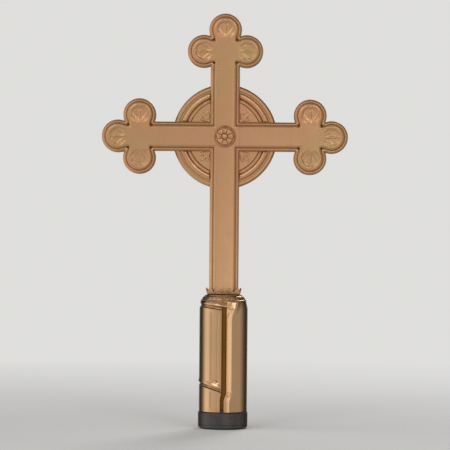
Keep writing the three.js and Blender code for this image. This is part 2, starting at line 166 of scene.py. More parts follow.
def mesh_from(name, points, faces):
    """A mesh from points in millimetres, with its faces pointing out."""
    mesh = bpy.data.meshes.new(name)
    mesh.from_pydata((np.asarray(points, float) * MM).tolist(), [], faces)
    work = bmesh.new()
    work.from_mesh(mesh)
    bmesh.ops.remove_doubles(work, verts=work.verts, dist=1e-6)
    bmesh.ops.recalc_face_normals(work, faces=work.faces)
    work.to_mesh(mesh)
    work.free()
    return mesh


def soften(mesh, angle=32):
    mesh.shade_smooth()
    mesh.set_sharp_from_angle(angle=math.radians(angle))


def add_object(name, data):
    made = bpy.data.objects.new(name, data)
    bpy.context.scene.collection.objects.link(made)
    return made


def piece(name, shape, node, angle=32):
    """A piece made from (points, faces), which stands for a CAD node: it rides on the node's body
    and takes its material."""
    mesh = mesh_from(name, *shape)
    soften(mesh, angle)
    mesh.materials.append(MATERIALS[SLOTS[node]])
    made = add_object(name, mesh)
    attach(made, RIDES_ON[node])
    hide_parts(node)
    return made


def cut(target, shape):
    """Cuts a shape from the target's mesh, for good."""
    tool = add_object("tool", mesh_from("tool", *shape))
    modifier = target.modifiers.new("cut", "BOOLEAN")
    modifier.operation = "DIFFERENCE"
    modifier.solver = "EXACT"
    modifier.object = tool
    bpy.context.view_layer.update()
    graph = bpy.context.evaluated_depsgraph_get()
    result = bpy.data.meshes.new_from_object(target.evaluated_get(graph))
    target.modifiers.clear()
    old, target.data = target.data, result
    bpy.data.meshes.remove(old)
    bpy.data.objects.remove(tool)
    soften(target.data)


def box_shape(low, high):
    bottom = [(low[0], low[1]), (high[0], low[1]), (high[0], high[1]), (low[0], high[1])]
    return skin([[(x, y, z) for x, y in bottom] for z in (low[2], high[2])])


def full_turn(count):
    return np.linspace(0, 2 * math.pi, count, endpoint=False)


def circle(radius, height, count):
    """A ring round Z. Its radius and height are one number each, or one for each point."""
    angle = full_turn(count)
    return np.column_stack([radius * np.cos(angle), radius * np.sin(angle), np.full(count, height)])


def turned(profile, count, ends="capped"):
    """A solid turned about Z from (radius, height) points."""
    return skin([circle(radius, height, count) for radius, height in profile], ends)


def facing_front(shape, across=0, up=CROSSING):
    """The shape with its Z axis turned to the front, at a place that is the crossing by default."""
    points, faces = shape
    x, y, z = points.T
    return np.column_stack([x + across, -z, y + up]), faces


def at_crossing(points, turns=0):
    """Points moved to the crossing and turned by quarters about it: up, right, down, left."""
    x, y, z = np.asarray(points, float).T
    for _ in range(turns):
        x, z = z, -x
    return np.column_stack([x, y, z + CROSSING])


# ---- Materials ----
class Tree:
    """A node tree, with short ways to add and link nodes."""

    def __init__(self, tree):
        self.tree = tree
        tree.nodes.clear()

    def feed(self, socket, value):
        if isinstance(value, bpy.types.NodeSocket):
            self.tree.links.new(value, socket)
        else:
            socket.default_value = value

    def add(self, kind, *inputs, **settings):
        """A node with these settings, whose first inputs take these values or sockets."""
        node = self.tree.nodes.new(kind)
        for key, value in settings.items():
            setattr(node, key, value)
        for socket, value in zip(node.inputs, inputs):
            self.feed(socket, value)
        return node

    def math(self, operation, first, second):
        return self.add("ShaderNodeMath", first, second, operation=operation).outputs[0]

    def level(self, value, low, high, start=0.0, end=1.0):
        """The value between low and high, as a number between start and end."""
        return self.add("ShaderNodeMapRange", value, low, high, start, end).outputs[0]

    def ramp(self, value, stops):
        """A colour by value, from (place, colour) stops."""
        node = self.add("ShaderNodeValToRGB", value)
        elements = node.color_ramp.elements
        while len(elements) < len(stops):
            elements.new(0.5)
        for element, (place, colour) in zip(elements, stops):
            element.position = place
            element.color = (*colour, 1)
        return node.outputs[0]


class Nodes(Tree):
    """A material's node tree, from its texture to its shader."""

    def __init__(self, name):
        self.material = bpy.data.materials.new(name)
        self.material.use_nodes = True
        super().__init__(self.material.node_tree)
        self.shader = self.add("ShaderNodeBsdfPrincipled")
        self.output = self.add("ShaderNodeOutputMaterial", self.shader.outputs[0])
        self.place = self.add("ShaderNodeTexCoord").outputs["Object"]

    def stretched(self, scale):
        mapping = self.add("ShaderNodeMapping", self.place)
        mapping.inputs["Scale"].default_value = scale
        return mapping.outputs[0]

    def noise(self, scale, detail=3.0, roughness=0.55, place=None):
        node = self.add("ShaderNodeTexNoise", place or self.place)
        for name, value in (("Scale", scale), ("Detail", detail), ("Roughness", roughness)):
            node.inputs[name].default_value = value
        return node.outputs["Fac"]

    def mix(self, share, first, second):
        node = self.add("ShaderNodeMix", data_type="RGBA")
        self.feed(node.inputs["Factor"], share)
        for socket, colour in zip((node.inputs[6], node.inputs[7]), (first, second)):
            is_socket = isinstance(colour, bpy.types.NodeSocket)
            self.feed(socket, colour if is_socket else (*colour, 1))
        return node.outputs[2]

    def hollows(self, distance):
        """Near 0 in hollows narrower than the distance, and 1 on open faces."""
        node = self.add("ShaderNodeAmbientOcclusion", samples=6)
        node.inputs["Distance"].default_value = distance * MM
        return node.outputs["AO"]

    def bump(self, height, strength, distance):
        node = self.add("ShaderNodeBump")
        node.inputs["Strength"].default_value = strength
        node.inputs["Distance"].default_value = distance * MM
        self.feed(node.inputs["Height"], height)
        self.feed(self.shader.inputs["Normal"], node.outputs[0])

    def finish(self, colour, roughness, metallic):
        self.feed(self.shader.inputs["Base Color"], colour)
        self.feed(self.shader.inputs["Roughness"], roughness)
        self.feed(self.shader.inputs["Metallic"], metallic)
        return self.material


PAINTED_HIGHLIGHT_HEIGHTS = 0.24, 0.4  # metres: the painted highlight is full below the first, and gone above the second


def bronze(name, tones, oxide_and_shade_tone, depth, smooth, rough, grain, streaks=(1, 1, 1), painted_highlight_tone=None):
    """Bronze with drifting tones, and a darker tone in its hollows that is partly oxide and partly
    painted shade: the depth says how open a face it reaches. smooth and rough bound the roughness,
    grain is the bump, and streaks stretches the polishing marks. The upright's lower part turns to a
    lighter tone, a painted highlight, if one is given."""
    n = Nodes(name)
    colour = n.ramp(n.noise(16, 4, 0.6), list(zip((0.32, 0.5, 0.68), tones)))
    mottle = n.level(n.noise(120, 4, 0.7), 0.35, 0.7)
    colour = n.mix(n.math("MULTIPLY", mottle, 0.25), colour, tones[0])
    # lighter towards the bottom, fading out between the heights: a painted highlight on the upright's
    # lower part
    if painted_highlight_tone:
        height = n.add("ShaderNodeSeparateXYZ", n.place).outputs["Z"]
        colour = n.mix(n.level(height, *PAINTED_HIGHLIGHT_HEIGHTS, 1.0, 0.0), colour, painted_highlight_tone)
    # Darker towards hollows, by ambient occlusion and a patchy noise: partly oxide, partly painted shade.
    hollow = n.level(n.hollows(5), 0.4, 0.95)
    patchiness = n.level(n.noise(60, 5, 0.7), 0.35, 0.65, 0.7, 1.0)
    oxide_and_shade = n.math("MULTIPLY", n.math("SUBTRACT", depth, hollow), patchiness)
    oxide_and_shade = n.math("MAXIMUM", oxide_and_shade, 0.0)
    colour = n.mix(oxide_and_shade, colour, oxide_and_shade_tone)
    cast = n.noise(700, 3, 0.6)
    polish = n.noise(60, 3, 0.6, n.stretched(streaks))
    roughness = n.level(polish, 0.3, 0.7, smooth, rough)
    roughness = n.math("ADD", roughness, n.math("MULTIPLY", oxide_and_shade, 0.18))
    n.bump(n.math("ADD", cast, n.math("MULTIPLY", polish, 0.5)), grain, 0.12)
    return n.finish(colour, roughness, 1.0)


def satin_bronze():
    tones = ((0.52, 0.265, 0.145), (0.49, 0.275, 0.135), (0.46, 0.295, 0.14))
    # dark brown in the hollows: partly oxide, partly painted shade
    oxide_and_shade_tone = (0.12, 0.055, 0.022)
    # a lighter tone for the upright's lower part: a painted highlight
    painted_highlight_tone = (0.58, 0.33, 0.17)
    return bronze(
        "satin_bronze", tones, oxide_and_shade_tone, depth=0.55, smooth=0.36, rough=0.48, grain=0.35, painted_highlight_tone=painted_highlight_tone
    )


def polished_bronze():
    tones = ((0.56, 0.32, 0.18), (0.52, 0.32, 0.165), (0.47, 0.31, 0.16))
    # near black in the shells' coves and hollows: painted shade for the shadows there, such as the cove
    # under the cap's rim, with some real oxide
    dark_oxide_and_shade = (0.07, 0.028, 0.008)
    upright_streaks = (1, 1, 0.08)
    return bronze(
        "polished_bronze", tones, dark_oxide_and_shade, 1.0, smooth=0.2, rough=0.28, grain=0.12, streaks=upright_streaks
    )


# Nearly black bronze for the strip in the front seam between the shells: its darkness is painted shade for
# the seam's shadow.
def dark_bronze():
    tones = ((0.17, 0.067, 0.013), (0.155, 0.062, 0.012), (0.13, 0.052, 0.01))
    # darker still in the hollows: partly oxide, partly painted shade
    oxide_and_shade_tone = (0.05, 0.02, 0.006)
    return bronze("dark_bronze", tones, oxide_and_shade_tone, depth=0.6, smooth=0.4, rough=0.5, grain=0.3)


def brass_fittings():
    tones = ((0.56, 0.36, 0.15), (0.58, 0.39, 0.16), (0.54, 0.37, 0.17))
    # dark brown in the hollows: partly oxide, partly painted shade
    oxide_and_shade_tone = (0.12, 0.065, 0.02)
    turning_marks = (1, 1, 6)
    return bronze(
        "brass_fittings", tones, oxide_and_shade_tone, 0.8, smooth=0.22, rough=0.34, grain=0.15, streaks=turning_marks
    )


def dark_wood():
    n = Nodes("dark_wood")
    along = n.stretched((1, 12, 12))
    grain = n.noise(28, 6, 0.65, along)
    pores = n.noise(240, 3, 0.6, along)
    stops = ((0.3, (0.013, 0.009, 0.009)), (0.5, (0.03, 0.019, 0.018)), (0.68, (0.06, 0.028, 0.022)))
    colour = n.ramp(grain, stops)
    colour = n.mix(n.level(pores, 0.55, 0.75, 0, 0.6), colour, (0.012, 0.008, 0.007))
    n.bump(n.math("ADD", grain, n.math("MULTIPLY", pores, 0.6)), 0.25, 0.25)
    n.feed(n.shader.inputs["Coat Weight"], 0.25)
    n.feed(n.shader.inputs["Coat Roughness"], 0.25)
    return n.finish(colour, n.level(grain, 0.3, 0.7, 0.36, 0.5), 0.0)


def core_wood():
    n = Nodes("core_wood")
    grain = n.noise(30, 6, 0.65, n.stretched((10, 10, 1)))
    colour = n.ramp(grain, ((0.35, (0.33, 0.19, 0.085)), (0.65, (0.52, 0.35, 0.18))))
    n.bump(grain, 0.3, 0.3)
    return n.finish(colour, n.level(grain, 0.3, 0.7, 0.6, 0.8), 0.0)


def steel():
    n = Nodes("steel")
    spangle = n.noise(90, 4, 0.7)
    colour = n.ramp(spangle, ((0.35, (0.38, 0.39, 0.4)), (0.65, (0.52, 0.52, 0.5))))
    n.bump(n.noise(900), 0.2, 0.05)
    return n.finish(colour, n.level(spangle, 0.3, 0.7, 0.28, 0.45), 1.0)


def cast_iron():
    n = Nodes("cast_iron")
    sand = n.noise(500, 5, 0.7)
    colour = n.ramp(n.noise(40, 4, 0.6), ((0.35, (0.05, 0.05, 0.052)), (0.7, (0.1, 0.085, 0.075))))
    n.bump(sand, 0.6, 0.3)
    return n.finish(colour, n.level(sand, 0.3, 0.7, 0.6, 0.8), 0.8)


def felt():
    n = Nodes("felt")
    fibres = n.noise(1500, 4, 0.8)
    colour = n.ramp(fibres, ((0.3, (0.012, 0.024, 0.016)), (0.7, (0.035, 0.06, 0.042))))
    n.bump(fibres, 0.8, 0.3)
    n.feed(n.shader.inputs["Sheen Weight"], 0.5)
    return n.finish(colour, 0.95, 0.0)


# Each material by the name of its slot in the record.
METALS = (satin_bronze, polished_bronze, dark_bronze, brass_fittings, steel, cast_iron)
MATERIALS = {make.__name__: make() for make in (*METALS, dark_wood, core_wood, felt)}

# ---- The beams ----
# The relief's height by distance inside the strip's edge: border, quirk, ogee, crowned strip.
EDGE_PROFILE = np.array(
    [
        (-1.5, BORDER), (-1.2, BORDER - 0.1), (-0.95, BORDER - 0.4), (-0.7, BORDER - 0.6),
        (-0.35, BORDER - 0.6), (-0.05, BORDER - 0.3), (0.25, BORDER + 0.5), (0.65, BORDER + 1.2),
        (1.1, BORDER + 1.6), (1.7, BORDER + 1.9), (2.3, BORDER + 2.3), (2.9, BORDER + 2.55),
        (3.5, STRIP_FACE - 0.3), (4.1, STRIP_FACE - 0.2), (6.5, STRIP_FACE - 0.12),
        (10.0, STRIP_FACE - 0.04), (STRIP_HALF, STRIP_FACE),
    ]
)


def edge_height(inside):
    return np.interp(inside, EDGE_PROFILE[:, 0], EDGE_PROFILE[:, 1])


# A border's edge, as (inset from the outline, height): back face, rounded side, front chamfer.
SIDE_PROFILE = rounded(
    [
        (CHAMFER + 1.2, -BACK), (CHAMFER, -BACK, 0.8), (0, CHAMFER - BACK, 1.2),
        (0, BORDER - CHAMFER, 1.2), (CHAMFER, BORDER, 0.8), (CHAMFER + 0.9, BORDER),
    ]
)


def beam_section():
    """A beam's section as (across, height), right side first."""
    side = [(BEAM_HALF - inset, height) for inset, height in SIDE_PROFILE]
    strip = [(STRIP_HALF - inside, height) for inside, height in EDGE_PROFILE]
    right = np.array(side + strip[:-1])
    middle = [[0, STRIP_FACE]]
    left = right[::-1] * [-1, 1]
    return np.concatenate([right, middle, left])


def moulding_height(inset):
    """The front's height by distance from a beam's edge."""
    chamfer = BORDER - CHAMFER + inset
    return np.where(inset < CHAMFER, chamfer, edge_height(inset - BEAM_HALF + STRIP_HALF))


FRONT_FROM = BORDER - CHAMFER - 0.6  # a section's points above this are its front


def beam(low, high, crossed=False):
    """A beam along Z with eased ends. If it is crossed, its mouldings mitre with a second beam's."""
    ease = 0.15
    across, height = beam_section().T
    heights = [low, low + ease, high - ease, high]
    if crossed:
        half = np.concatenate([np.linspace(0, CHAMFER, 4), BEAM_HALF - STRIP_HALF + EDGE_PROFILE[:, 0]])
        heights += [BEAM_HALF + ease, -BEAM_HALF - ease, *(BEAM_HALF - half), *(half - BEAM_HALF)]
    rings = []
    for z in sorted(set(np.round(heights, 4))):
        scale = 1 - ease / BEAM_HALF if z in (low, high) else 1
        front = height.copy()
        if crossed and abs(z) <= BEAM_HALF:
            raised = moulding_height(np.maximum(BEAM_HALF - np.abs(across), BEAM_HALF - abs(z)))
            front = np.where(height > FRONT_FROM, np.maximum(raised, 0), height)
        rings.append(np.column_stack([across * scale, -front * scale, np.full(len(across), z)]))
    return skin(rings)


def pin_hole(node):
    """A shallow hole in a beam's back, round the end of a retaining pin."""
    low, high = corners(node)
    radius = (high[0] - low[0]) / 2 + HAIR
    deep, proud = 2, 1
    hole = turned([(radius, deep - BACK), (radius, -BACK - proud)], 48)
    middle = (low + high) / 2
    return facing_front(hole, middle[0], middle[2])


def make_upright():
    points, faces = beam(STEM_FOOT - CROSSING, ARM_JOINT - HAIR, crossed=True)
    made = piece("upright_beam", (at_crossing(points), faces), "upright")
    lap = BEAM_HALF + GAP
    lap_low = (-2 * BEAM_HALF, 0, CROSSING - lap)
    cut(made, box_shape(lap_low, (2 * BEAM_HALF, 2 * BACK, CROSSING + lap)))
    for pin in ("top_end_pin", "tang_pin"):
        cut(made, pin_hole(pin))


def make_crossbar():
    points, faces = beam(HAIR - ARM_JOINT, ARM_JOINT - HAIR)
    made = piece("crossbar_beam", (at_crossing(points, 1), faces), "crossbar")
    lap = BEAM_HALF + 2 * HAIR
    lap_low = (-lap, -2 * STRIP_FACE, CROSSING - 2 * BEAM_HALF)
    cut(made, box_shape(lap_low, (lap, GAP, CROSSING + 2 * BEAM_HALF)))
    for pin in ("left_end_pin", "right_end_pin"):
        cut(made, pin_hole(pin))


# ---- The trefoil ends ----
def arc(centre, radius, start, end, count):
    angle = np.linspace(start, end, count)
    return centre + radius * np.column_stack([np.cos(angle), np.sin(angle)])


def line(points, count):
    """Points evenly spaced along a polyline."""
    points = np.array(points, float)
    lengths = np.linalg.norm(np.diff(points, axis=0), axis=1)
    along = np.concatenate([[0], np.cumsum(lengths)])
    share = np.linspace(0, along[-1], count)
    return np.column_stack([np.interp(share, along, points[:, i]) for i in (0, 1)])


NECK_POINTS = 12
CORNER_POINTS = 9
LOBE_POINTS = 72
STRIP_EDGE = STRIP_HALF - EDGE_PROFILE[:, 0]
NECK_ACROSS = np.concatenate([-np.abs(STRIP_EDGE), np.abs(STRIP_EDGE[-2::-1])])


def neck_end(half):
    """The neck's end line, with a point for each corner of the strip's profile."""
    wide = np.concatenate([[-half], np.clip(NECK_ACROSS, -half, half), [half]])
    return np.column_stack([wide, np.full(len(wide), -NECK)])


def mirrored_loop(end, right, top):
    """A closed loop from the neck's end, the right side below the top lobe, and the top lobe."""
    left = right[::-1] * [-1, 1]
    return np.concatenate([end, right, top, left])


def outline(inset):
    """The trefoil's outline, moved inwards."""
    radius = LOBE_RADIUS - inset
    drop = math.sqrt(LOBE_RADIUS**2 - (LOBE_OFFSET - BEAM_HALF) ** 2)
    notch = (LOBE_OFFSET + math.sqrt(2 * LOBE_RADIUS**2 - LOBE_OFFSET**2)) / 2
    at_neck = math.atan2(drop, BEAM_HALF - LOBE_OFFSET)
    at_notch = math.atan2(notch, notch - LOBE_OFFSET)
    at_top = math.pi / 2 - at_notch
    side = line([(BEAM_HALF - inset, -NECK), (BEAM_HALF - inset, -drop - 0.2)], NECK_POINTS)
    neck_corner = arc((BEAM_HALF, -drop), inset, math.pi, math.pi - at_neck, CORNER_POINTS)
    lobe = arc((LOBE_OFFSET, 0), radius, -at_neck, at_notch, LOBE_POINTS)
    notch_corner = arc((notch, notch), inset, at_notch - math.pi, at_top - math.pi, CORNER_POINTS)
    top = arc((0, LOBE_OFFSET), radius, at_top, math.pi - at_top, LOBE_POINTS)
    right = np.concatenate([side[1:], neck_corner, lobe, notch_corner])
    return mirrored_loop(neck_end(BEAM_HALF - inset), right, top)


def field_loop(inside):
    """A contour of the raised field: two crossed strips that end in round petals."""
    half = STRIP_HALF - inside
    radius = PETAL_RADIUS - inside
    sweep = math.pi - math.asin(half / radius)
    meet = LOBE_OFFSET + radius * math.cos(sweep)
    turn = half + 3  # where the side's even spacing gives way to the corner's
    step = 0.1  # keeps the ends of neighbouring stretches apart
    side = line([(half, -NECK), (half, -turn)], NECK_POINTS)
    low_corner = line([(half, step - turn), (half, -half), (meet - step, -half)], CORNER_POINTS)
    lobe = arc((LOBE_OFFSET, 0), radius, -sweep, sweep, LOBE_POINTS)
    high_corner = line([(meet - step, half), (half, half), (half, meet - step)], CORNER_POINTS)
    top = arc((0, LOBE_OFFSET), radius, math.pi / 2 - sweep, math.pi / 2 + sweep, LOBE_POINTS)
    right = np.concatenate([side[1:], low_corner, lobe, high_corner])
    return mirrored_loop(neck_end(half), right, top)


LOBES = ((0, 1), (1, 0), (-1, 0))  # directions of the three lobes


def field_inside(x, z):
    """Distance inside the raised field's edge."""
    upward = np.where(z < LOBE_OFFSET, STRIP_HALF - np.abs(x), -np.inf)
    sideways = np.where(np.abs(x) < LOBE_OFFSET, STRIP_HALF - np.abs(z), -np.inf)
    inside = np.maximum(upward, sideways)
    for dx, dz in LOBES:
        away = np.hypot(x - dx * LOBE_OFFSET, z - dz * LOBE_OFFSET)
        inside = np.maximum(inside, PETAL_RADIUS - away)
    return inside


CUSP = STRIP_HALF + 0.4  # across and along, from a trefoil's centre to its drilled cusps
CUSP_DEPTH, CUSP_WIDTH = 1.8, 2.0
PETAL_FLOOR = 4.2  # inside the field's edge, where the contours end and the spoons begin
SPOON_DEPTH = 2.3
SPOON_START = -16, -2  # along a lobe from its centre: where the spoon starts, and is at full depth
RIBS = ((0, 1.2), (-0.62, 0.8), (0.62, 0.8))  # lean in radians, and height
RIB_WIDTH = 1.7
RIB_FOOT = 14  # from a lobe's centre back to where its ribs meet
EYE_OUT, EYE_DEPTH, EYE_WIDTH = 8.5, 1.3, 1.6  # out from the lobe's centre
FIELD_GRID = 0.75  # spacing of the points inside the field


def field_height(x, z):
    """Height of the raised field: each petal is a spoon with fanned ribs and a drilled eye."""
    height = edge_height(field_inside(x, z))
    for dx, dz in LOBES:
        along = x * dx + z * dz - LOBE_OFFSET
        across = x * dz - z * dx
        rim = PETAL_RADIUS - np.hypot(along, across)
        spoon = smoothstep(PETAL_FLOOR, PETAL_FLOOR + 5, rim) * smoothstep(*SPOON_START, along)
        height = height - SPOON_DEPTH * spoon
        for lean, high in RIBS:
            beside = across * math.cos(lean) - (along + RIB_FOOT) * math.sin(lean)
            height = height + high * spoon * bell(beside, RIB_WIDTH)
        height = height - EYE_DEPTH * bell(np.hypot(along - EYE_OUT, across), EYE_WIDTH)
    return height


def cusp_pits(x, z):
    """Depth of the drilled pits at the field's inner corners."""
    return CUSP_DEPTH * bell(np.hypot(np.abs(x) - CUSP, np.abs(z) - CUSP), CUSP_WIDTH)


def front_points(x, z, height):
    return np.column_stack([x, cusp_pits(x, z) - height, z])


def filled(loop, spacing):
    """Triangles that fill a field contour, with a grid of points inside it."""
    low, high = loop.min(0), loop.max(0)
    x, z = np.meshgrid(np.arange(low[0], high[0], spacing), np.arange(low[1], high[1], spacing))
    x, z = x.ravel(), z.ravel()
    keep = (field_inside(x, z) > PETAL_FLOOR + spacing / 2) & (z > -NECK + spacing / 2)
    points = np.concatenate([loop, np.column_stack([x, z])[keep]])
    vectors = [Vector(p) for p in points]
    border = list(range(len(loop)))
    _, _, faces, origin, _, _ = delaunay_2d_cdt(vectors, [], [border], 1, 1e-5)
    source = [o[0] if o else -1 for o in origin]
    if -1 in source:
        raise ValueError("a field contour crosses itself")
    return points, [tuple(source[v] for v in face) for face in faces]


def trefoil_shape():
    rings = []
    for inset, height in SIDE_PROFILE:
        x, z = outline(inset).T
        lift = height if height < BORDER else edge_height(field_inside(x, z))
        on_end = (z < -NECK + 1e-6) & (height > BORDER - 0.01)
        level = np.where(on_end, lift, height)
        rings.append(front_points(x, z, level) if height > 0 else np.column_stack([x, -level, z]))
    for inside in EDGE_PROFILE[EDGE_PROFILE[:, 0] < PETAL_FLOOR, 0]:
        x, z = field_loop(inside).T
        rings.append(front_points(x, z, edge_height(field_inside(x, z))))
    last = field_loop(PETAL_FLOOR)
    field, triangles = filled(last, FIELD_GRID)
    x, z = field.T
    field = front_points(x, z, field_height(x, z))
    rings.append(field[: len(last)])
    points, faces = skin(rings)
    faces.pop()  # the front cap, which the field takes the place of
    start = len(points) - len(last)
    faces += [tuple(start + corner for corner in triangle) for triangle in triangles]
    return np.concatenate([points, field[len(last) :]]), faces


def make_trefoil_ends():
    points, faces = trefoil_shape()
    placed = points + np.array([0, 0, TREFOIL])
    for side, turns in (("top", 0), ("right", 1), ("left", 3)):
        piece(side + "_trefoil", (at_crossing(placed, turns), faces), side + "_trefoil_end", 40)


# ---- The nimbus ----
RING, RING_BACK = ring_high[:2]
RING_PROFILE = rounded(
    [
        (RING - 1.5, -RING_BACK, 0), (RING, -RING_BACK + 1.5, 0.6), (RING, 2.0, 0.6),
        (RING - 2.8, 5.0, 0.8), (RING - 6.0, 5.2, 0.5), (RING - 6.9, 4.0, 0.3),
        (RING - 8.4, 4.0, 0.3), (RING - 9.4, 5.2, 0.3), (RING - 10.8, 6.5, 0.9),
        (RING - 13.3, 7.3, 1.4), (RING - 15.8, 6.4, 0.9), (RING - 17.2, 4.4, 0.5),
        (RING - 18.0, 1.9, 0.6), (RING - 21.6, 1.7, 0.8), (RING - 23.2, 4.0, 0.6),
        (RING - 24.8, 4.0, 0.2),
    ],
    steps=3,
)
RING_FIELD = 4.0  # height of the plain field inside the ring's mouldings
RING_SLOPE = 0.9  # how steeply the mouldings may climb away from the beams
SPRAY_FOOT = 33  # from the crossing to where a spray's leaves meet
SPRAY_LEAVES = ((0, 9.0), (-0.55, 7.0), (0.55, 7.0))  # lean in radians, and half the length
LEAF_HALF = 2.7  # half the width of a leaf
LEAF_HIGH, VEIN_DEPTH, VEIN_WIDTH = 0.9, 0.45, 0.6


def leaf_spray(radius, angle):
    """A low fan of three leaves on each quadrant's diagonal, inside the ring."""
    along = radius * np.cos(angle - math.pi / 4) - SPRAY_FOOT
    across = radius * np.sin(angle - math.pi / 4)
    height = 0
    for lean, half_long in SPRAY_LEAVES:
        forward = along * math.cos(lean) + across * math.sin(lean) - half_long - 1
        beside = across * math.cos(lean) - along * math.sin(lean)
        inside = 1 - (forward / half_long) ** 2 - (beside / LEAF_HALF) ** 2
        vein = VEIN_DEPTH * bell(beside, VEIN_WIDTH) * (inside > 0.1)
        height = np.maximum(height, LEAF_HIGH * smoothstep(0, 0.5, inside) - vein)
    return height


def nimbus_shape():
    edge = BEAM_HALF + HAIR
    count = 120
    step = 0.7
    inner = np.arange(RING_PROFILE[-1, 0] - 0.6, edge * math.sqrt(2) + 0.4, -step)
    radii = np.concatenate([RING_PROFILE[:, 0], inner])
    heights = np.concatenate([RING_PROFILE[:, 1], np.full(len(inner), RING_FIELD)])
    share = np.linspace(0, 1, count)
    rows = []
    for radius, height in zip(radii, heights):
        start = math.asin(edge / radius)
        angle = start + share * (math.pi / 2 - 2 * start)
        lift = height + (leaf_spray(radius, angle) if radius in inner else 0)
        beside = radius * np.minimum(np.sin(angle), np.cos(angle)) - edge
        lift = np.minimum(lift, BORDER - CHAMFER + RING_SLOPE * beside)
        x, z = radius * np.sin(angle), radius * np.cos(angle)
        rows.append(np.column_stack([x, -lift * np.ones(count), z]))
    tip = np.tile([edge, -RING_FIELD, edge], (count, 1))
    tip_back = np.tile([edge, RING_BACK, edge], (count, 1))
    return skin(np.array(rows + [tip, tip_back]).transpose(1, 0, 2))


def make_nimbus():
    points, faces = nimbus_shape()
    for turns, corner in enumerate(("upper_right", "lower_right", "lower_left", "upper_left")):
        node = "nimbus_" + corner
        piece(node + "_moulded", (at_crossing(points, turns), faces), node, 40)


# ---- The rosette over the crossing ----
PETALS = 8
BUTTON, PETALS_FROM, PETALS_TO, RIM_BEAD = 0.26, 0.45, 0.7, 0.92  # shares of the way to the rim
BUTTON_HIGH, BEAD_HIGH, PETAL_LOW, PETAL_MORE = 2.4, 1.2, 0.9, 1.3
ROSETTE_FIELD = 0.7


def rosette_height(radius, angle, rim):
    """Petals in a beaded rim, round a domed button."""
    share = radius / rim
    petal = PETAL_LOW + PETAL_MORE * np.abs(np.cos(PETALS / 2 * angle)) ** 0.5
    reach = smoothstep(0.2, PETALS_FROM, share) * (1 - smoothstep(PETALS_TO, 0.84, share))
    border = BEAD_HIGH * bell(share - RIM_BEAD, 0.05)
    button = BUTTON_HIGH * np.sqrt(np.clip(1 - (share / BUTTON) ** 2, 0, 1))
    return ROSETTE_FIELD + reach * petal + border + button


def make_rosette():
    rim = rosette_high[0]
    seat = STRIP_FACE + GAP
    count = 192
    angle = full_turn(count)
    rings = [circle(rim - 0.6, seat, count), circle(rim, seat + 0.5, count)]
    for radius in np.linspace(rim - 0.25, 0.3, 44):
        rings.append(circle(radius, seat + rosette_height(radius, angle, rim), count))
    piece("crossing_rosette_carved", facing_front(skin(rings)), "crossing_rosette", 45)


# ---- Fittings behind the cross, and the tang ----
NUT_HALF = 6.5  # from the acorn nut's axis to each flat
NUT_HIGH = 6.5  # its six-sided part
DOME_RADIUS = 5.6
STUD_HOLE = 4.3  # radius of the washer's hole


def make_acorn_nut():
    """Six flats with turned corners, and a dome behind them."""
    count = 96
    seat = -washer_high[1] - GAP
    angle = full_turn(count)
    flat = NUT_HALF / np.cos((angle + math.pi / 6) % (math.pi / 3) - math.pi / 6)
    rings = []
    for height, limit in ((0, 6.9), (0.6, 9), (NUT_HIGH - 0.7, 9), (NUT_HIGH, 6.6)):
        rings.append(circle(np.minimum(flat, limit), seat - height, count))
    dome_high = nut_high[1] - nut_low[1] - NUT_HIGH
    for turn in np.linspace(0, math.pi / 2, 12):
        radius = DOME_RADIUS * math.cos(turn) + 0.05
        rings.append(circle(radius, seat - NUT_HIGH - dome_high * math.sin(turn), count))
    piece("crossing_acorn_nut", facing_front(skin(rings)), "crossing_nut")


def make_washer():
    rim = washer_high[0]
    near, far = -washer_low[1], -washer_high[1]
    corner_points = [(rim, near, 0.4), (rim, far, 0.4), (STUD_HOLE, far, 0.3)]
    profile = rounded([(STUD_HOLE, near), *corner_points, (STUD_HOLE, near)])
    shape = facing_front(turned(profile, 96, ends="joined"))
    piece("crossing_plain_washer", shape, "crossing_washer")


def groove(radius, low):
    """Corners of a shallow groove turned in a rod, starting at a height."""
    floor = radius - 0.8
    course = ((radius, 0), (floor, 1), (floor, 3), (radius, 4))
    return [(across, low + up, 0.3) for across, up in course]


def make_tang():
    """A rod with a tapered end and two grooves, and the thinner spigot inside the upright."""
    radius, spigot = tang_high[0], 5
    low, high = tang_low[2], tang_high[2]
    shoulder = STEM_FOOT - GAP
    profile = rounded(
        [
            (0.1, low), (radius - 2.5, low, 0.3), (radius, low + 5, 1.5),
            *groove(radius, low + 24),
            *groove(radius, shoulder - 9),
            (radius, shoulder, 0.3), (spigot, shoulder, 0), (spigot, high - 1, 0.3),
            (spigot - 1, high, 0), (0.1, high),
        ]
    )
    piece("tang_rod", turned(profile, 96), "tang")


# ---- The column ----
SHELL_INNER = 32.5
SHELL_TOP = left_high[2]
LEFT_RADIUS = 35.3
RIGHT_RADIUS = 35.6
FRONT_EDGES = {-1: -2.6, 1: 4.8}  # x of each shell's edge at the front seam, by side
JOG_SHIFTS = {-1: -1.9, 1: -3.4}  # how far each edge stands further left near the foot
JOG_HEIGHTS = 42, 55  # the edges shift between these
SHOULDER, LEAN = 176, 2.2  # above this height the shells lean in to the cap
ROW_STEP = 0.02  # between rows of a shell that all but meet
REAR_SEAM = 0.4  # half the width of the rear seam
RAIL_HALF = 2.5
UPPER_RAIL, UPPER_DIP = 186, 4.6  # height at the side, and fall towards the front
LOWER_RAIL, LOWER_DIP = 71.0, 10.5
BRIDGE_EDGE = 4.5  # the upper rail runs on across the seam, to here
AROUND = np.linspace(0, 1, 230) ** 1.4  # shares of the way round, closest near the front seam


def front_edge(side, height):
    return FRONT_EDGES[side] + JOG_SHIFTS[side] * (1 - float(smoothstep(*JOG_HEIGHTS, height)))


